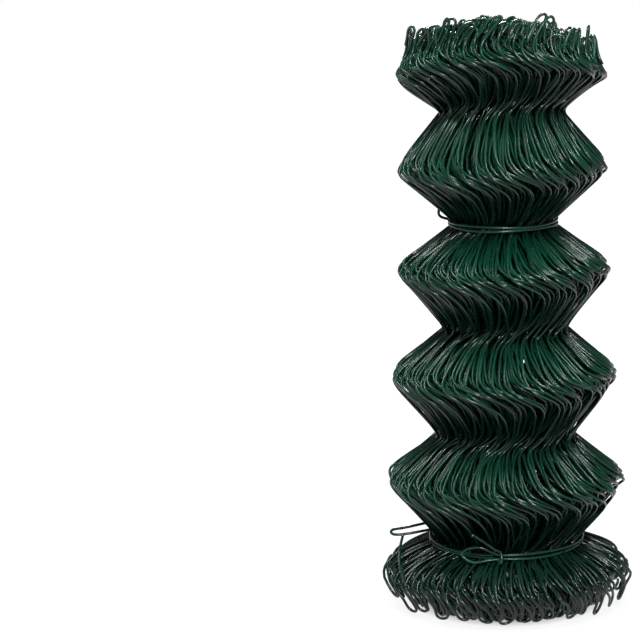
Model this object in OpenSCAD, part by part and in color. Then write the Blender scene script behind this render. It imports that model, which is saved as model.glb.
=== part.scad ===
// Compact roll of coated chain-link fencing, standing on its end, with two tie wires.
// Every length is in millimetres. Z is up, the axis of the roll is Z, and the floor is z = 0.

/* [Mesh] */
// Diameter of the coated fence wire
wire_d = 2.5; // [2:0.1:3]
// Height of one diamond of the closed-up mesh
diamond_h = 94.2; // [84:0.2:104]
// Depth of one zigzag of the wire, from inner bend to outer bend
zigzag_depth = 37; // [30:0.5:42]
// Radius of the wall's surface round each bend of the wire
bend_r = 6; // [5:0.25:7]

/* [Roll] */
// Radius of the bore, at the inner bends
bore_r = 20; // [14:0.5:24]
// Height of the straight wall at each inner bend
bore_land_h = 5; // [3:0.5:8]
// Height of the lowest waist above the floor
foot_h = 55.5; // [48:0.5:64]
// Height from the highest waist to the top end
head_h = 67.7; // [60:0.1:76]
// Turns of mesh that show on each end
turns = 9; // [5:1:11]
// Spacing of the turns on the ends
turn_pitch = 4.3; // [3.6:0.1:4.6]
// Depth of the gap between two turns on the ends
turn_gap_depth = 4; // [2:0.25:6]

/* [Ridges] */
// How far the ridges lie above the middle between their waists
ridge_lift = 6; // [0:0.5:9]
// How far the second ridge sags, with no tie above it
head_sag = 6; // [0:0.5:9]
// Radius of the second ridge from the top
ridge_2_r = 91; // [84:0.5:112]
// Radius of the third ridge from the top
ridge_3_r = 93.5; // [84:0.5:112]
// Radius of the fourth ridge from the top
ridge_4_r = 99; // [84:0.5:112]
// Radius of the fifth ridge from the top
ridge_5_r = 105.5; // [84:0.5:112]
// Radius of the flared foot, the lowest ridge
foot_r = 108.5; // [100:0.5:116]

/* [Waists] */
// Radius of the highest waist
waist_1_r = 55.5; // [44:0.5:68]
// Radius of the second waist, pulled in by the middle tie
waist_2_r = 44.5; // [42:0.5:68]
// Radius of the third waist
waist_3_r = 55.5; // [44:0.5:68]
// Radius of the fourth waist
waist_4_r = 63; // [44:0.5:70]
// Radius of the lowest waist, held by the lower tie
waist_5_r = 65; // [44:0.5:70]

/* [Ends] */
// Outer radius of the turns on the top end
top_r = 79; // [74:0.5:86]
// Height of the highest ridge above the highest waist
head_ridge_rise = 36.5; // [33:0.5:41]
// How far the highest ridge stands out past the turns on the top end
head_flare = 11.5; // [8:0.5:16]
// How far the neck under the top end draws in from its turns
neck_draw_in = 1; // [0.5:0.25:3]
// Height of the widest part of the foot above the floor
foot_ridge_h = 25.5; // [22:0.5:30]
// Radius of the wall's surface round the foot's widest part
foot_bend_r = 16; // [8:0.5:18]
// How far the turns on the floor draw in from the foot's widest part
foot_draw_in = 13; // [8:0.5:16]

/* [Ties] */
// Diameter of the tie wire
tie_d = 2.5; // [2:0.1:3]
// Air between a tie wire and the waist it lies in
tie_air = 0.3; // [0.2:0.05:0.5]
// How far the two runs of a tie press into each other
tie_press = 0.15; // [0.1:0.05:0.3]
// Length of the loop at the end of a tie, from the knot to its tip
eye_l = 27; // [20:0.5:34]
// Width of the loop at the end of a tie, on the wire's centre line
eye_w = 10; // [7:0.25:12]
// How far the loop of a tie stands away from the roll, in degrees
eye_lift_a = 22; // [16:1:30]
// Length of the free end of a tie
tail_l = 24; // [14:0.5:28]
// Slant of the free end of a tie away from upright, in degrees
tail_tip_a = 55; // [50:1:70]
// Turn of the free end of a tie toward the loop, in degrees
tail_side_a = 36; // [20:1:50]
// Place of the middle tie's knot round the roll, in degrees
middle_knot_a = 152; // [90:1:180]
// Place of the lower tie's knot round the roll, in degrees
lower_knot_a = 266; // [200:1:300]

/* [Hidden] */
$fn = 96;
coat_colour = [0.06, 0.3, 0.2];
half_diamond_h = diamond_h / 2;
inner_ridge_r = bore_r + zigzag_depth;
tie_r = tie_d / 2;
// Half the spacing of the two runs of a tie
run_offset = tie_r - tie_press / 2;
// Distance from a run to the wire that crosses over it
cross_r = tie_d - tie_press;
// How far the crossing wire bends round each run, in degrees
cross_a = 46;
// Straight stretches of tie wire run this far into the bent ones, and are thinner by this step
lap_l = 0.4;
lap_step = 0.04;
straight_r = tie_r - lap_step;

// Waists from the top down, and their heights
waist_rs = [waist_1_r, waist_2_r, waist_3_r, waist_4_r, waist_5_r];
last_waist = len(waist_rs) - 1;
function waist_z(i) = foot_h + (last_waist - i) * diamond_h;

// Ridges between the waists, from the top down
ridge_rs = [ridge_2_r, ridge_3_r, ridge_4_r, ridge_5_r];
last_ridge = len(ridge_rs) - 1;
function ridge_z(i) = waist_z(i) - half_diamond_h + ridge_lift - (i == 0 ? head_sag : 0);

// The two ends
roll_h = waist_z(0) + head_h;
head_ridge_z = waist_z(0) + head_ridge_rise;
neck_share = 0.5;
neck_z = head_ridge_z + neck_share * (roll_h - head_ridge_z);
turns_w = turns * turn_pitch;
turn_gap = turn_pitch - wire_d;
floor_r = foot_r - foot_draw_in;

fence_roll();
middle_tie();
lower_tie();

// A peg is [distance of its centre from the axis, height, bend], its bend below zero in a hollow
function outer_ridge(r, z, bend = bend_r) = [r - bend, z, bend];
function outer_waist(r, z) = [r + bend_r, z, -bend_r];
function inner_ridge(r, z) = [r - bend_r, z, -bend_r];
function inner_waist(z) = [
    [bore_r + bend_r, z + bore_land_h / 2, bend_r],
    [bore_r + bend_r, z - bore_land_h / 2, bend_r]
];

// The pegs along each side of the wall
function turn_gaps(inner_r, z, rise) = [
    for (i = [1:turns - 1], place = [-1:1])
        [inner_r + i * turn_pitch + place * turn_gap / 2, z + (1 - abs(place)) * rise, 0]
];
function backward(list) = [for (i = [len(list) - 1:-1:0]) list[i]];
foot_end = concat(
    [[floor_r - turns_w, 0, 0]],
    turn_gaps(floor_r - turns_w, 0, turn_gap_depth),
    [[floor_r, 0, 0]]
);
outer_side = concat(
    [outer_ridge(foot_r, foot_ridge_h, foot_bend_r)],
    [for (i = [last_waist:-1:1]) each [
        outer_waist(waist_rs[i], waist_z(i)),
        outer_ridge(ridge_rs[i - 1], ridge_z(i - 1))
    ]],
    [outer_waist(waist_rs[0], waist_z(0))],
    [outer_ridge(top_r + head_flare, head_ridge_z)],
    [outer_waist(top_r - neck_draw_in, neck_z)]
);
head_end = concat(
    [[top_r, roll_h, 0]],
    backward(turn_gaps(top_r - turns_w, roll_h, -turn_gap_depth)),
    [[top_r - turns_w, roll_h, 0]]
);
inner_side = concat(
    [inner_ridge(inner_ridge_r, head_ridge_z)],
    [for (i = [0:last_ridge]) each concat(
        inner_waist(waist_z(i)),
        [inner_ridge(inner_ridge_r, ridge_z(i))]
    )],
    inner_waist(waist_z(last_waist))
);

// The outline is a line drawn taut round the pegs, so each bend's surface lies on its peg
function flat(peg) = [peg.x, peg.y];
function heading(a, b) =
    let (step = flat(b) - flat(a))
    atan2(step.y, step.x) - asin((b.z - a.z) / norm(step));
function touch(peg, way) = flat(peg) + peg.z * [sin(way), -cos(way)];
function touches(before, peg, after) =
    peg.z == 0
        ? [flat(peg)]
        : [touch(peg, heading(before, peg)), touch(peg, heading(peg, after))];

module taut_outline(pegs) {
    last = len(pegs) - 1;
    difference() {
        union() {
            polygon([for (i = [0:last])
                each touches(pegs[i == 0 ? last : i - 1], pegs[i], pegs[i == last ? 0 : i + 1])]);
            for (peg = pegs) if (peg.z > 0) translate(flat(peg)) circle(r = peg.z);
        }
        for (peg = pegs) if (peg.z < 0) translate(flat(peg)) circle(r = -peg.z);
    }
}

// The wound mesh as one turned wall
module fence_roll() {
    color(coat_colour)
        rotate_extrude()
            taut_outline(concat(foot_end, outer_side, head_end, inner_side));
}

// A loop of wire that starts and ends at the origin and points along -Y
module eye() {
    eye_r = eye_w / 2;
    centre_l = eye_l - eye_r - tie_r;
    half_a = asin(eye_r / centre_l);
    rotate([0, 90, 0]) {
        for (side = [-1, 1])
            rotate([90, 0, side * half_a])
                cylinder(h = centre_l * cos(half_a) + lap_l, r = straight_r);
        translate([0, -centre_l, 0])
            rotate([0, 0, 180 - half_a])
                rotate_extrude(angle = 180 + 2 * half_a) translate([eye_r, 0]) circle(r = tie_r);
    }
}

// The end of the wire, crossing over both runs and then standing free
module crossing() {
    for (side = [-1, 1])
        translate([0, 0, side * run_offset])
            rotate([90, 0, 0])
                rotate([0, 0, side < 0 ? -cross_a : 0])
                    rotate_extrude(angle = cross_a) translate([cross_r, 0]) circle(r = tie_r);
    translate([cross_r, 0, -run_offset - lap_l])
        cylinder(h = 2 * (run_offset + lap_l), r = straight_r);
    translate([cross_r * cos(cross_a), 0, run_offset + cross_r * sin(cross_a)]) {
        sphere(r = tie_r + lap_step);
        rotate([0, tail_tip_a, -tail_side_a]) cylinder(h = tail_l, r = straight_r);
    }
}

// A doubled wire round a waist, with its knot at knot_a and its loop on the given side of the knot
module tie(waist_r, z, knot_a, loop_side) {
    seat_r = waist_r + bend_r - sqrt(pow(bend_r - tie_r - tie_air, 2) - pow(run_offset, 2));
    color(coat_colour)
        translate([0, 0, z]) {
            rotate_extrude()
                for (side = [-1, 1])
                    translate([seat_r, side * run_offset]) circle(r = tie_r);
            rotate([0, 0, knot_a])
                translate([seat_r, 0, 0])
                    mirror([0, loop_side > 0 ? 1 : 0, 0]) {
                        rotate([0, 0, eye_lift_a]) eye();
                        crossing();
                    }
        }
}

module middle_tie() {
    tie(waist_2_r, waist_z(1), middle_knot_a, 1);
}

module lower_tie() {
    tie(waist_5_r, waist_z(last_waist), lower_knot_a, -1);
}
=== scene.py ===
"""A compact roll of coated chain-link fencing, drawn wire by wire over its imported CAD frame."""

import math

import bpy
import numpy as np
from mathutils import Matrix, Vector


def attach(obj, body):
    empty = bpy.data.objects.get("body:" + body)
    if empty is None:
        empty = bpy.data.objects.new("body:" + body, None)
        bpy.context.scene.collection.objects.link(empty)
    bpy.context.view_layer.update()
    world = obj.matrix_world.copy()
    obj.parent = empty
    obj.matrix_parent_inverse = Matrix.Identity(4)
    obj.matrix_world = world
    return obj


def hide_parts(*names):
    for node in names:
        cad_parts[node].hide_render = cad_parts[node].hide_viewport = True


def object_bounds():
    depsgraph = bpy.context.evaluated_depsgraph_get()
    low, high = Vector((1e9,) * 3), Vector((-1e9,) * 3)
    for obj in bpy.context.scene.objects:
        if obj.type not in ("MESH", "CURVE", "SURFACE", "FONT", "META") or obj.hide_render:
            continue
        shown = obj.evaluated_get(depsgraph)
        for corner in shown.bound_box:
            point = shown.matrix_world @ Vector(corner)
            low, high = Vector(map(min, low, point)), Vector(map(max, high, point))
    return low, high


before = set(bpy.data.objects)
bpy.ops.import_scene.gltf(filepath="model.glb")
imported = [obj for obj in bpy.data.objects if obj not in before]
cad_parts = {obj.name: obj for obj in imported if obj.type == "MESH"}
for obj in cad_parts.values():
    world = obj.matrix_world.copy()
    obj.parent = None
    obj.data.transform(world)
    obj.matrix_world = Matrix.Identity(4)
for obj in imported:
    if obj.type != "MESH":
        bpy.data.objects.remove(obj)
cad_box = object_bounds()

# Lengths here are in millimetres unless a name says otherwise
MM = 0.001
RNG = np.random.default_rng(41)
FRONT_A = -math.pi / 2
FLAT = np.array([1.0, 1.0, 0.0])

# Wire: coated, with a steel core that shows on its cut ends
WIRE_R = 1.25
CORE_SHARE = 0.64

# Bends of a wire, counted from its top end down to its foot end: waists at even places, ridges at odd ones
DIAMOND_H = 94.2
FOOT_H = 55.5
RIDGE_LIFT = 6.0
HEAD_SAG = 6.0
FOOT_RIDGE_Z = 25.5
TOP_Z = 494.0
HEAD_RIDGE_Z = 453.0
HEAD_WAIST_Z = 430.0
END_LEG_H = 39.5
OUTER_R = np.array([79.5, 91.5, 55.5, 91.0, 44.5, 93.5, 55.5, 99.0, 63.0, 105.5, 65.0, 108.5, 92.0])
INNER_R = np.array([42.0] + 5 * [57.0, 20.0] + [57.0, 50.0])
BENDS = len(OUTER_R)
HEAD_RIDGE = 1
HEAD_WAIST = 2
SAGGED_RIDGE = 3
SECOND_WAIST = 4
FOURTH_RIDGE = 7
LOWEST_WAIST = BENDS - 3
FOOT_RIDGE = BENDS - 2
TIED_WAISTS = (SECOND_WAIST, LOWEST_WAIST)

# The top end, its ridge and its waist stand highest at the front
HEAD_RISES = np.array([31.0, 32.0, 11.0])
HEAD_RISE_POWER = 1.5

# Round bends, and the swing of a wire as it winds over a ridge and quickly back round a waist
# Spans, lags and places are counted in bends
BEND_SHARPNESS = 0.97
RIDGE_SWING = math.radians(11)
WAIST_SWING = math.radians(7.5)
RIDGE_SPAN = 0.19
RIDGE_LAG = 0.06
WAIST_SPAN = 0.14
FOOT_SWING_SHARE = 0.32
NECK_SWING = math.radians(5.8)
NECK_SPAN = 0.3
NECK_PLACE = 0.33
NECK_POWER = 3.0
FOOT_BULGE_SHARE = 0.16

# Turns of the roll: the first two nest into each other, and the inner ones lie deeper and higher
TURN_WIRES = (56, 56, 66, 64, 60, 56, 52, 46, 40)
TURNS = len(TURN_WIRES)
NEST_SHARES = np.full(BENDS, 0.1)
NEST_SHARES[[0, FOURTH_RIDGE, FOOT_RIDGE, FOOT_RIDGE + 1]] = 0.18, 0.07, 0.13, 0.2
DEPTH_POWER = 1.25
LIFT = 4.0
LIFT_TURNS = 0.5

# How far wires stray from their places
ANGLE_STRAY_SHARE = 0.2
RADIUS_STRAY = 1.5
HEIGHT_STRAY = 1.3
SIDE_STRAY = 2.2
FOOT_STRAY_GAIN = 2.2
TOP_STRAY_GAIN = 2.0
INNER_STRAY_GAIN = 2.0
CLUMP = 1.8
CLUMP_WAVES = (14, 23)
CLUMP_PHASES = RNG.uniform(0, math.tau, (len(CLUMP_WAVES), BENDS))
SWING_STRAY_SHARE = 0.12
SECOND_SWING_SHARE = 1.35
FOOT_BULGE_STRAY_SHARE = 0.07

# Hooked ends, each pair the least and the most; every second wire of the first two turns ends short
TOP_HOOK_RS = (4.2, 6.4)
FOOT_HOOK_RS = (4.0, 6.2)
TOP_LEG_LS = (11.0, 24.0)
FOOT_LEG_LS = (16.0, 38.0)
TOP_DROPS = ((0.0, 8.0), (3.0, 12.0), (5.0, 15.0))
FOOT_GAPS = (0.0, 7.0)
INNER_FOOT_GAPS = (0.0, 2.0)
SHORT_BYS = (5.0, 13.0)
SHORT_LEG_SHARE = 0.4
HOOK_OUT = 2.8
HOOK_SPREAD = 3.0
HOOK_LOOK_BACK = 0.02


def unit(vectors):
    return vectors / np.linalg.norm(vectors, axis=-1, keepdims=True)


def dot(a, b):
    return np.sum(a * b, axis=-1, keepdims=True)


def bend_heights():
    """Height of each bend at the back of the roll."""
    heights = FOOT_H + (LOWEST_WAIST - np.arange(BENDS)) * DIAMOND_H / 2
    heights[SAGGED_RIDGE:LOWEST_WAIST:2] += RIDGE_LIFT
    heights[SAGGED_RIDGE] -= HEAD_SAG
    heights[:HEAD_WAIST + 1] = TOP_Z, HEAD_RIDGE_Z, HEAD_WAIST_Z
    heights[FOOT_RIDGE:] = FOOT_RIDGE_Z, FOOT_RIDGE_Z - END_LEG_H
    return heights


def depth_shares(turn):
    """How deep a turn lies in the wall at each bend."""
    if turn == 0:
        return np.zeros(BENDS)
    return NEST_SHARES + (1 - NEST_SHARES) * ((turn - 1) / (TURNS - 2)) ** DEPTH_POWER


def front_share(angles):
    return (1 + np.cos(angles - FRONT_A)) / 2


def bend_table(angles, turn):
    """Radius, height and side step of each wire of a turn at each bend."""
    size = (len(angles), BENDS)
    depth = depth_shares(turn)
    radius = (OUTER_R * (1 - depth) + INNER_R * depth - WIRE_R) * np.ones(size)
    lift = LIFT * (1 - math.exp(-turn / LIFT_TURNS)) * np.ones(size)
    lift[:, [0, *TIED_WAISTS]] = 0
    height = bend_heights() + lift
    height[:, :HEAD_WAIST + 1] += front_share(angles)[:, None] ** HEAD_RISE_POWER * HEAD_RISES
    radius -= np.abs(RNG.normal(0, RADIUS_STRAY, size))
    height += RNG.normal(0, HEIGHT_STRAY, size)
    side = RNG.normal(0, SIDE_STRAY * (1 if turn < 2 else INNER_STRAY_GAIN), size)
    side[:, FOOT_RIDGE:] *= FOOT_STRAY_GAIN
    side[:, 0] *= TOP_STRAY_GAIN
    for waves, phases in zip(CLUMP_WAVES, CLUMP_PHASES):
        side += CLUMP * np.sin(waves * angles[:, None] + phases) * (1 if turn < 2 else -1)
    return radius, height, side


def pick(table, places):
    return table[np.arange(len(table))[:, None], places]


def along(table, bends):
    """Values of a bend table at places counted in bends, eased so that each bend is round."""
    low = np.clip(np.floor(bends).astype(int), 0, BENDS - 2)
    ease = np.arcsin(BEND_SHARPNESS * np.cos(math.pi * (bends - low))) / math.asin(BEND_SHARPNESS)
    return pick(table, low) * (1 + ease) / 2 + pick(table, low + 1) * (1 - ease) / 2


def straight_along(table, bends):
    low = np.clip(np.floor(bends).astype(int), 0, BENDS - 2)
    share = bends - low
    return pick(table, low) * (1 - share) + pick(table, low + 1) * share


def swing(bends):
    """Angle swung since the top end: on over each ridge, partly back round each waist."""
    places = np.arange(BENDS, dtype=float)
    ridge = places % 2 == 1
    places[ridge] += RIDGE_LAG
    places[0] = NECK_PLACE
    steps = np.where(ridge, RIDGE_SWING, -WAIST_SWING)
    steps[0] = -NECK_SWING
    steps[FOOT_RIDGE] *= FOOT_SWING_SHARE
    spans = np.where(ridge, RIDGE_SPAN, WAIST_SPAN)
    spans[0] = NECK_SPAN
    passed = np.tanh((bends[..., None] - places) / spans) + np.tanh(places / spans)
    return np.sum(steps * passed, axis=-1)


def bend_places(top_bend, foot_bend, steps):
    """Places along each wire, counted in bends and closer together at the bends."""
    spread = (1 - np.cos(math.pi * np.arange(steps) / steps)) / 2
    inside = np.concatenate([leg + spread for leg in range(HEAD_RIDGE, FOOT_RIDGE)])
    share = np.arange(steps + 1) / steps
    top = top_bend + (HEAD_RIDGE - top_bend) * share[:-1]
    foot = FOOT_RIDGE + (foot_bend - FOOT_RIDGE) * share
    return np.concatenate([top, np.tile(inside, (len(top_bend), 1)), foot], axis=1)


def column(count, low, high):
    return RNG.uniform(low, high, (count, 1))


class Turn:
    """The wires of one turn, each a curve that is read at places counted in bends."""

    def __init__(self, turn):
        self.count = TURN_WIRES[turn]
        pitch = math.tau / self.count
        angles = FRONT_A + pitch * (np.arange(self.count) + (turn % 2) / 2)
        self.angles = (angles + pitch * RNG.normal(0, ANGLE_STRAY_SHARE, self.count))[:, None]
        self.radius, self.height, self.side = bend_table(self.angles[:, 0], turn)
        swing_share = SECOND_SWING_SHARE if turn == 1 else 1.0
        self.swing_share = swing_share + RNG.normal(0, SWING_STRAY_SHARE, (self.count, 1))
        bulge_stray = column(self.count, -FOOT_BULGE_STRAY_SHARE, FOOT_BULGE_STRAY_SHARE)
        self.foot_bulge = FOOT_BULGE_SHARE + bulge_stray

    def points(self, bends, side=0.0, out=0.0):
        """Points on each wire, moved aside and outward by the given lengths."""
        head = self.radius[:, :1]
        ridge = self.radius[:, HEAD_RIDGE, None]
        neck = along(np.arange(BENDS) * np.ones((self.count, 1)), bends)
        neck_r = head + (ridge - head) * neck ** NECK_POWER
        in_foot = np.clip(bends - LOWEST_WAIST, 0, 1)
        bulged = bends + self.foot_bulge * np.sin(math.pi * in_foot)
        r = np.where(bends < HEAD_RIDGE, neck_r, along(self.radius, bulged)) + out
        aside = (along(self.side, bends) + side) / along(OUTER_R * np.ones((self.count, 1)), bends)
        turned = self.angles + swing(bends) * self.swing_share + aside
        height = straight_along(self.height, bends)
        return np.stack([r * np.cos(turned), r * np.sin(turned), height], axis=2)

    def hook(self, end_bend, way, hook_r, leg_l, out, steps):
        """The end of each wire, bent back on its left side, with its leg laid along the wire."""
        share = np.arange(steps + 1) / steps
        spread = RNG.normal(0, HOOK_SPREAD, (self.count, 1))
        leg_bends = end_bend - way * share * leg_l / END_LEG_H
        leg = self.points(leg_bends, spread * share - 2 * hook_r, out)
        end = self.points(end_bend)
        ahead = unit(end - self.points(end_bend - way * HOOK_LOOK_BACK))
        bend = math.pi * (np.arange(1, 2 * steps) / (2 * steps))[None, :, None]
        across = (leg[:, :1] - end) * (1 - np.cos(bend)) / 2
        arc = end + across + ahead * hook_r[..., None] * np.sin(bend)
        return np.concatenate([arc, leg], axis=1)


def wire_paths(turn, steps):
    """Centre lines of all the wires of a turn, from cut end to cut end."""
    wires = Turn(turn)
    count = wires.count
    top_r = column(count, *TOP_HOOK_RS)
    foot_r = column(count, *FOOT_HOOK_RS)
    head_h = wires.height[:, :1] - wires.height[:, HEAD_RIDGE, None]
    short = (np.arange(count)[:, None] + turn) % 2 * (turn < 2)
    short_by = short * column(count, *SHORT_BYS)
    leg_share = 1 - (1 - SHORT_LEG_SHARE) * short
    top_bend = (top_r + short_by + column(count, *TOP_DROPS[min(turn, 2)])) / head_h
    foot_z = WIRE_R + foot_r + short_by + column(count, *(FOOT_GAPS if turn < 2 else INNER_FOOT_GAPS))
    foot_bend = FOOT_RIDGE + (wires.height[:, FOOT_RIDGE, None] - foot_z) / END_LEG_H
    wires.height[:, -1] = wires.height[:, FOOT_RIDGE] - END_LEG_H
    out = HOOK_OUT * (1 - 2 * short if turn == 0 else -1)
    main = wires.points(bend_places(top_bend, foot_bend, steps))
    top = wires.hook(top_bend, -1, top_r, leg_share * column(count, *TOP_LEG_LS), out, steps // 2)
    foot = wires.hook(foot_bend, 1, foot_r, leg_share * column(count, *FOOT_LEG_LS), out, steps // 2)
    return np.concatenate([top[:, ::-1], main, foot], axis=1)


def sweep(paths, radius, sides):
    """Rings of points round each path."""
    ahead = unit(np.gradient(paths, axis=1))
    out = paths * FLAT
    out = unit(out - ahead * dot(out, ahead))
    across = np.cross(ahead, out)
    turn = math.tau * np.arange(sides) / sides
    ring = out[:, :, None] * np.cos(turn)[:, None] + across[:, :, None] * np.sin(turn)[:, None]
    return paths[:, :, None] + radius * ring


def tube_mesh(name, paths, radius, sides):
    """One mesh of closed tubes, each with a steel core showing on its cut ends."""
    rings = sweep(paths, radius, sides)
    wires, length = rings.shape[:2]
    cores = paths[:, [0, -1], None] * (1 - CORE_SHARE) + rings[:, [0, -1]] * CORE_SHARE
    points = np.concatenate([rings.reshape(-1, 3), cores.reshape(-1, 3)]) * MM
    index = np.arange(wires * length * sides).reshape(wires, length, sides)
    following = np.roll(index, -1, axis=2)
    walls = np.stack([index[:, :-1], following[:, :-1], following[:, 1:], index[:, 1:]], axis=3)
    core = index.size + np.arange(wires * 2 * sides).reshape(wires, 2, sides)
    core_next = np.roll(core, -1, axis=2)
    first_cap = np.stack([following[:, 0], index[:, 0], core[:, 0], core_next[:, 0]], axis=2)
    last_cap = np.stack([index[:, -1], following[:, -1], core_next[:, 1], core[:, 1]], axis=2)
    quads = np.concatenate([walls.reshape(-1, 4), first_cap.reshape(-1, 4), last_cap.reshape(-1, 4)])
    discs = np.concatenate([core[:, 0, ::-1], core[:, 1]])
    mesh = bpy.data.meshes.new(name)
    mesh.vertices.add(len(points))
    mesh.vertices.foreach_set("co", points.ravel())
    mesh.loops.add(quads.size + discs.size)
    mesh.loops.foreach_set("vertex_index", np.concatenate([quads.ravel(), discs.ravel()]))
    mesh.polygons.add(len(quads) + len(discs))
    starts = np.concatenate([np.arange(len(quads)) * 4, quads.size + np.arange(len(discs)) * sides])
    mesh.polygons.foreach_set("loop_start", starts)
    faces = np.arange(len(starts))
    mesh.polygons.foreach_set("use_smooth", faces < walls.size // 4)
    mesh.polygons.foreach_set("material_index", (faces >= len(quads)).astype(np.int32))
    mesh.update(calc_edges=True)
    mesh.validate()
    tone = RNG.uniform(-1, 1, wires)
    tones = np.concatenate([np.repeat(tone, length * sides), np.repeat(tone, 2 * sides)])
    mesh.attributes.new("wire_tone", "FLOAT", "POINT").data.foreach_set("value", tones)
    return mesh


def add_wires(name, paths, radius, sides, coat):
    piece = bpy.data.objects.new(name, tube_mesh(name, paths, radius, sides))
    bpy.context.scene.collection.objects.link(piece)
    piece.data.materials.append(coat)
    piece.data.materials.append(STEEL)
    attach(piece, "root")
    return piece


def new_material(name):
    material = bpy.data.materials.new(name)
    material.use_nodes = True
    shader = material.node_tree.nodes["Principled BSDF"]
    return material, material.node_tree.nodes, material.node_tree.links, shader


def noise(nodes, links, scale, detail):
    coords = nodes.new("ShaderNodeTexCoord")
    texture = nodes.new("ShaderNodeTexNoise")
    texture.inputs["Scale"].default_value = scale
    texture.inputs["Detail"].default_value = detail
    links.new(coords.outputs["Object"], texture.inputs["Vector"])
    return texture.outputs["Fac"]


def ramp(nodes, links, value, places, colours):
    band = nodes.new("ShaderNodeValToRGB")
    for stop, place, colour in zip(band.color_ramp.elements, places, colours):
        stop.position = place
        stop.color = (*colour, 1.0)
    links.new(value, band.inputs["Fac"])
    return band.outputs["Color"]


def math_node(nodes, links, operation, first, second):
    node = nodes.new("ShaderNodeMath")
    node.operation = operation
    for socket, value in zip(node.inputs, (first, second)):
        if isinstance(value, (int, float)):
            socket.default_value = value
        else:
            links.new(value, socket)
    return node.outputs["Value"]


def height_share(nodes, links, low_m, high_m):
    """0 up to the low height, 1 from the high one."""
    coords = nodes.new("ShaderNodeTexCoord")
    axes = nodes.new("ShaderNodeSeparateXYZ")
    links.new(coords.outputs["Object"], axes.inputs["Vector"])
    span = nodes.new("ShaderNodeMapRange")
    span.inputs["From Min"].default_value = low_m
    span.inputs["From Max"].default_value = high_m
    links.new(axes.outputs["Z"], span.inputs["Value"])
    return span.outputs["Result"]


def mixed(nodes, links, share, first, second):
    node = nodes.new("ShaderNodeMixRGB")
    links.new(share, node.inputs["Fac"])
    links.new(first, node.inputs["Color1"])
    links.new(second, node.inputs["Color2"])
    return node.outputs["Color"]


# Coat: greens from dark to light, plain and with painted shade near the floor, and the heights between
# which the painted shade fades
COAT_GREENS = ((0.002, 0.034, 0.018), (0.006, 0.074, 0.041))
# Painted shade: darker, greyer greens for the lowest wires near the floor
FOOT_SHADE_GREENS = ((0.005, 0.023, 0.016), (0.013, 0.05, 0.036))
TIE_GREENS = ((0.008, 0.095, 0.064), (0.016, 0.15, 0.1))
SHADE_LOW_M = 0.04
SHADE_HIGH_M = 0.075
TONE_SCALE = 38.0
TONE_DETAIL = 4.0
TONE_PLACES = (0.15, 0.85)
WIRE_TONE_SHARE = 0.22
GLOSS_SCALE = 240.0
GLOSS_DETAIL = 3.0
GLOSS_PLACES = (0.3, 0.7)
ROUGHNESSES = (0.2, 0.28)
SPECULAR_LEVEL = 0.5
BUMP_SCALE = 90.0
BUMP_DETAIL = 0.0
BUMP_STRENGTH = 0.015
BUMP_DISTANCE_M = 0.0003

# Steel on the cut ends
STEEL_GREYS = ((0.62, 0.63, 0.62), (0.82, 0.83, 0.82))
STEEL_SCALE = 900.0
STEEL_DETAIL = 2.0
STEEL_PLACES = (0.3, 0.7)
STEEL_METALLIC = 0.7
STEEL_ROUGHNESS = 0.45


def coat_material(name, plain_greens, shaded_greens):
    """Green coat, a little different along and between the wires, and painted darker and greyer near the
    floor as shade.
    """
    material, nodes, links, shader = new_material(name)
    wire = nodes.new("ShaderNodeAttribute")
    wire.attribute_name = "wire_tone"
    wire_tone = math_node(nodes, links, "MULTIPLY", wire.outputs["Fac"], WIRE_TONE_SHARE)
    tone = math_node(nodes, links, "ADD", noise(nodes, links, TONE_SCALE, TONE_DETAIL), wire_tone)
    plain_colour = ramp(nodes, links, tone, TONE_PLACES, plain_greens)
    shaded_colour = ramp(nodes, links, tone, TONE_PLACES, shaded_greens)
    # Painted shade: below these heights the coat takes the darker, greyer greens
    above_shade = height_share(nodes, links, SHADE_LOW_M, SHADE_HIGH_M)
    links.new(mixed(nodes, links, above_shade, shaded_colour, plain_colour), shader.inputs["Base Color"])
    patches = noise(nodes, links, GLOSS_SCALE, GLOSS_DETAIL)
    gloss = ramp(nodes, links, patches, GLOSS_PLACES, [(level,) * 3 for level in ROUGHNESSES])
    links.new(gloss, shader.inputs["Roughness"])
    shader.inputs["Specular IOR Level"].default_value = SPECULAR_LEVEL
    bump = nodes.new("ShaderNodeBump")
    bump.inputs["Strength"].default_value = BUMP_STRENGTH
    bump.inputs["Distance"].default_value = BUMP_DISTANCE_M
    links.new(noise(nodes, links, BUMP_SCALE, BUMP_DETAIL), bump.inputs["Height"])
    links.new(bump.outputs["Normal"], shader.inputs["Normal"])
    return material


def steel_material():
    material, nodes, links, shader = new_material("cut_steel")
    tone = noise(nodes, links, STEEL_SCALE, STEEL_DETAIL)
    links.new(ramp(nodes, links, tone, STEEL_PLACES, STEEL_GREYS), shader.inputs["Base Color"])
    shader.inputs["Metallic"].default_value = STEEL_METALLIC
    shader.inputs["Roughness"].default_value = STEEL_ROUGHNESS
    return material


COAT = coat_material("green_coat", COAT_GREENS, FOOT_SHADE_GREENS)
TIE_COAT = coat_material("tie_coat", TIE_GREENS, TIE_GREENS)
STEEL = steel_material()

# Wires, one piece a turn, drawn finer on the turns that show most
TURN_SIDES = (8, 8, 6, 6, 5, 5, 5, 5, 5)
TURN_STEPS = (14, 14, 10, 10, 6, 6, 6, 6, 6)
for turn, (sides, steps) in enumerate(zip(TURN_SIDES, TURN_STEPS)):
    paths = wire_paths(turn, steps)
    piece = add_wires(f"mesh_turn_{turn + 1}", paths, WIRE_R, sides, COAT)
    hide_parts("fence_roll")

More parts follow.
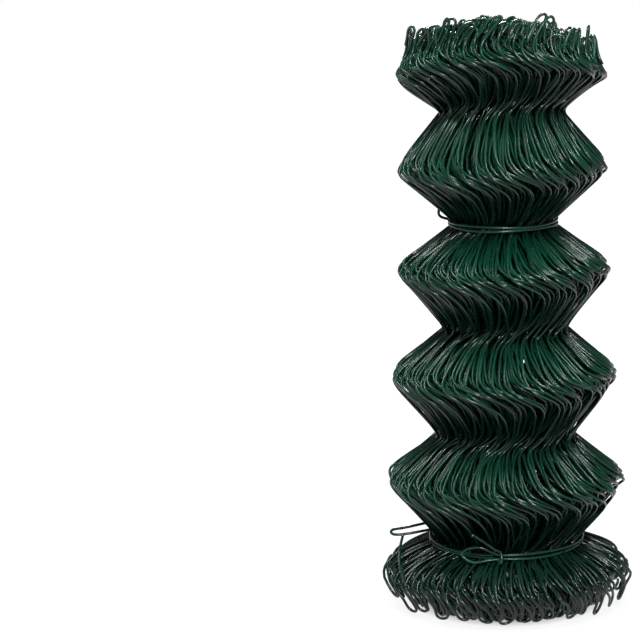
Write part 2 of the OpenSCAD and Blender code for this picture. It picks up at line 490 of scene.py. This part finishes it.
# Ties: a doubled wire each, given as points along the waist from the knot, out from it and up
TIE_STEP = 3.0
TIE_SIDES = 12
TIE_SMOOTH_STEPS = 4
RUN_UP = 1.55
RUN_OUT = 0.9
RUN_SWAY = 0.5
RUN_WAVES = 3
MIDDLE_KNOT_A = math.radians(152)
LOWER_KNOT_A = math.radians(266)
CROSSING = (
    (-3.0, 1.0, -2.6),
    (0.2, 4.4, -4.6),
    (0.6, 4.3, -0.5),
    (0.0, 2.3, 4.6),
    (-5.0, 5.5, 8.5),
    (-12.0, 11.0, 16.0),
    (-17.0, 16.0, 22.0),
    (-18.2, 19.0, 23.8),
)
LOWER_EYE = (
    (-4.0, 2.0, 3.0),
    (-16.0, 5.0, 9.0),
    (-26.0, 8.0, 7.5),
    (-30.5, 9.5, 2.0),
    (-22.0, 8.0, -4.0),
    (-9.0, 3.5, -2.0),
)
MIDDLE_EYE = (
    (-4.0, 2.0, 2.6),
    (-12.0, 5.0, 8.0),
    (-19.0, 8.0, 10.5),
    (-21.5, 9.0, 8.0),
    (-17.0, 8.0, 3.5),
    (-7.0, 3.5, -0.5),
)


def smooth(points, steps):
    """A curve through the points, bending evenly from one to the next."""
    padded = np.concatenate([2 * points[:1] - points[1:2], points, 2 * points[-1:] - points[-2:-1]])
    before, here, there, after = (padded[i:len(padded) - 3 + i, None] for i in range(4))
    share = (np.arange(steps) / steps)[None, :, None]
    squared = 2 * before - 5 * here + 4 * there - after
    cubed = 3 * here - before - 3 * there + after
    curve = here + share / 2 * (there - before + share * (squared + share * cubed))
    return np.concatenate([curve.reshape(-1, points.shape[1]), points[-1:]])


def tie_path(knot_a, way, waist_r, waist_z, eye):
    """Centre line of a tie: a run round the waist, the eye, the other run and the free end."""
    seat_r = waist_r + WIRE_R + RUN_OUT
    length = math.tau * seat_r
    places = np.arange(TIE_STEP, length - 2 * TIE_STEP, TIE_STEP)
    sway = RUN_UP + RUN_SWAY * np.sin(RUN_WAVES * places / seat_r)
    upper = np.stack([places, 0 * places, sway], axis=1)
    lower = np.stack([places, 0 * places, -sway], axis=1)
    crossing = np.array(CROSSING) + (length, 0, 0)
    route = smooth(np.concatenate([upper[::-1], eye, lower, crossing]), TIE_SMOOTH_STEPS)
    angle = knot_a + way * route[:, 0] / seat_r
    r = seat_r + route[:, 1]
    return np.stack([r * np.cos(angle), r * np.sin(angle), waist_z + route[:, 2]], axis=1)[None]


TIES = (
    ("middle_tie", MIDDLE_KNOT_A, -1, SECOND_WAIST, MIDDLE_EYE),
    ("lower_tie", LOWER_KNOT_A, 1, LOWEST_WAIST, LOWER_EYE),
)
for node, knot_a, way, bend, eye in TIES:
    path = tie_path(knot_a, way, OUTER_R[bend], bend_heights()[bend], eye)
    piece = add_wires(f"{node}_wire", path, WIRE_R, TIE_SIDES, TIE_COAT)
    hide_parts(node)

# Strands that stand out from the roll: a hairpin, a strand that hangs from it and bare ends on the top
STRAND_SMOOTH_STEPS = 6
HAIRPIN = (
    (-58, -6, 72),
    (-88, -12, 67),
    (-99, -15, 66),
    (-101.5, -17, 64.2),
    (-98, -19, 62.4),
    (-86, -18, 63),
    (-56, -12, 67),
)
LOOSE_STRANDS = (
    HAIRPIN,
    ((-91, -20, 62), (-93, -38, 55), (-93, -53, 46), (-90, -62, 38), (-87, -68, 31)),
    ((-60, -50, 492), (-60, -52, 502), (-61, -53, 511)),
    ((-53, -58, 494), (-54, -59, 504), (-52, -60, 512)),
    ((22, -75, 500), (22, -76, 509), (24, -77, 517)),
)
for number, strand in enumerate(LOOSE_STRANDS):
    path = smooth(np.array(strand, dtype=float), STRAND_SMOOTH_STEPS)[None]
    piece = add_wires(f"loose_strand_{number + 1}", path, WIRE_R, TIE_SIDES, COAT)
    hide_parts("fence_roll")

# Camera: placed so that the roll's axis falls on the same pixels as in the photo
PHOTO_SIDE_PX = 640
FOCUS_PX = 2667.0
SENSOR_MM = 36.0
AXIS_TOP_PX = (501.0, 34.0)
AXIS_FOOT_PX = (507.0, 595.0)
ROLL_H_M = cad_box[1][2]
ROLL_MIDDLE_M = Vector((0, 0, ROLL_H_M / 2))
CAMERA_AT_M = Vector((0.0, -2.283, 0.72))


def photo_ray(pixel):
    half = PHOTO_SIDE_PX / 2
    return Vector((pixel[0] - half, half - pixel[1], -FOCUS_PX)).normalized()


def basis(first, second):
    ahead = (first + second).normalized()
    across = first.cross(second).normalized()
    return Matrix((ahead, across.cross(ahead), across)).transposed()


seen = basis(photo_ray(AXIS_TOP_PX), photo_ray(AXIS_FOOT_PX))
real = basis((Vector((0, 0, ROLL_H_M)) - CAMERA_AT_M).normalized(), (-CAMERA_AT_M).normalized())
camera_data = bpy.data.cameras.new("camera")
camera_data.sensor_width = SENSOR_MM
camera_data.lens = SENSOR_MM * FOCUS_PX / PHOTO_SIDE_PX
camera = bpy.data.objects.new("camera", camera_data)
camera.matrix_world = Matrix.Translation(CAMERA_AT_M) @ (real @ seen.transposed()).to_4x4()
bpy.context.scene.collection.objects.link(camera)
bpy.context.scene.camera = camera

# Lamps: azimuth from the front and elevation in degrees, size in metres, watts, and what they light
LAMP_DISTANCE_M = 3.4
LAMPS = (
    ("key", 0, 58, (3.0, 2.0), 138.0, "diffuse"),
    ("low_box", 6, 29, (0.9, 0.45), 82.0, "gloss"),
    ("right_box", 72, 60, (0.7, 0.6), 36.0, "gloss"),
    ("left_box", -72, 60, (0.7, 0.6), 14.0, "gloss"),
)


def area_light(name, azimuth, elevation, size, power, lit):
    """A soft box aimed at the middle of the roll, for its diffuse light or for its gloss."""
    data = bpy.data.lights.new(name, "AREA")
    data.shape = "RECTANGLE"
    data.size, data.size_y = size
    data.energy = power
    lamp = bpy.data.objects.new(name, data)
    round_a = math.radians(azimuth)
    up_a = math.radians(elevation)
    level = math.cos(up_a)
    way = Vector((math.sin(round_a) * level, -math.cos(round_a) * level, math.sin(up_a)))
    lamp.location = ROLL_MIDDLE_M + LAMP_DISTANCE_M * way
    lamp.rotation_euler = way.to_track_quat("Z", "Y").to_euler()
    lamp.visible_camera = False
    lamp.visible_diffuse = lit == "diffuse"
    lamp.visible_glossy = lit == "gloss"
    bpy.context.scene.collection.objects.link(lamp)


# The same lamps stand in front of the roll and behind it
for side, turned in (("front", 0), ("back", 180)):
    for name, azimuth, *rest in LAMPS:
        area_light(f"{side}_{name}", azimuth + turned, *rest)

# Strengths of the world and the floor: as the camera sees them, as gloss mirrors them and as light
WORLD_STRENGTHS = (1.0, 0.08, 0.05)
FLOOR_STRENGTHS = (1.0, 0.8, 0.0)


def ray_strength(nodes, links, seen_strength, mirrored_strength, other_strength):
    """One strength for what the camera sees, one for what gloss mirrors and one for light."""
    path = nodes.new("ShaderNodeLightPath")
    camera_ray = path.outputs["Is Camera Ray"]
    passing_ray = path.outputs["Is Transmission Ray"]
    gloss_ray = path.outputs["Is Glossy Ray"]
    seen_ray = math_node(nodes, links, "MAXIMUM", camera_ray, passing_ray)
    seen_part = math_node(nodes, links, "MULTIPLY", seen_ray, seen_strength - other_strength)
    gloss_part = math_node(nodes, links, "MULTIPLY", gloss_ray, mirrored_strength - other_strength)
    total = math_node(nodes, links, "ADD", seen_part, gloss_part)
    return math_node(nodes, links, "ADD", total, other_strength)


def pale_world():
    world = bpy.data.worlds.new("studio")
    bpy.context.scene.world = world
    world.use_nodes = True
    nodes = world.node_tree.nodes
    links = world.node_tree.links
    background = nodes["Background"]
    background.inputs["Color"].default_value = (1, 1, 1, 1)
    links.new(ray_strength(nodes, links, *WORLD_STRENGTHS), background.inputs["Strength"])


# Floor, and its brightness at distances from the axis
FLOOR_HALF_M = 6.0
FLOOR_GREY = 0.12
FLOOR_ROUGHNESS = 0.9
FLOOR_STOPS_M = ((0.055, 0.0), (0.09, 0.88), (0.25, 1.0))


def pale_floor():
    """A floor that is white to the camera, and shaded round the foot of the roll."""
    data = bpy.data.meshes.new("floor")
    corners = [(x * FLOOR_HALF_M, y * FLOOR_HALF_M, 0) for x, y in ((-1, -1), (1, -1), (1, 1), (-1, 1))]
    data.from_pydata(corners, [], [(0, 1, 2, 3)])
    floor = bpy.data.objects.new("floor", data)
    bpy.context.scene.collection.objects.link(floor)
    material, nodes, links, shader = new_material("pale_floor")
    shader.inputs["Base Color"].default_value = (FLOOR_GREY, FLOOR_GREY, FLOOR_GREY, 1)
    shader.inputs["Roughness"].default_value = FLOOR_ROUGHNESS
    shader.inputs["Specular IOR Level"].default_value = 0.0
    shader.inputs["Emission Color"].default_value = (1, 1, 1, 1)
    coords = nodes.new("ShaderNodeTexCoord")
    length = nodes.new("ShaderNodeVectorMath")
    length.operation = "LENGTH"
    links.new(coords.outputs["Object"], length.inputs[0])
    away = nodes.new("ShaderNodeValToRGB")
    away.color_ramp.elements.new(FLOOR_STOPS_M[1][0])
    for stop, (place, level) in zip(away.color_ramp.elements, FLOOR_STOPS_M):
        stop.position = place
        stop.color = (level, level, level, 1)
    links.new(length.outputs["Value"], away.inputs["Fac"])
    strength = ray_strength(nodes, links, *FLOOR_STRENGTHS)
    glow = math_node(nodes, links, "MULTIPLY", strength, away.outputs["Color"])
    links.new(glow, shader.inputs["Emission Strength"])
    data.materials.append(material)


pale_world()
pale_floor()

bpy.context.scene.view_settings.view_transform = "Standard"
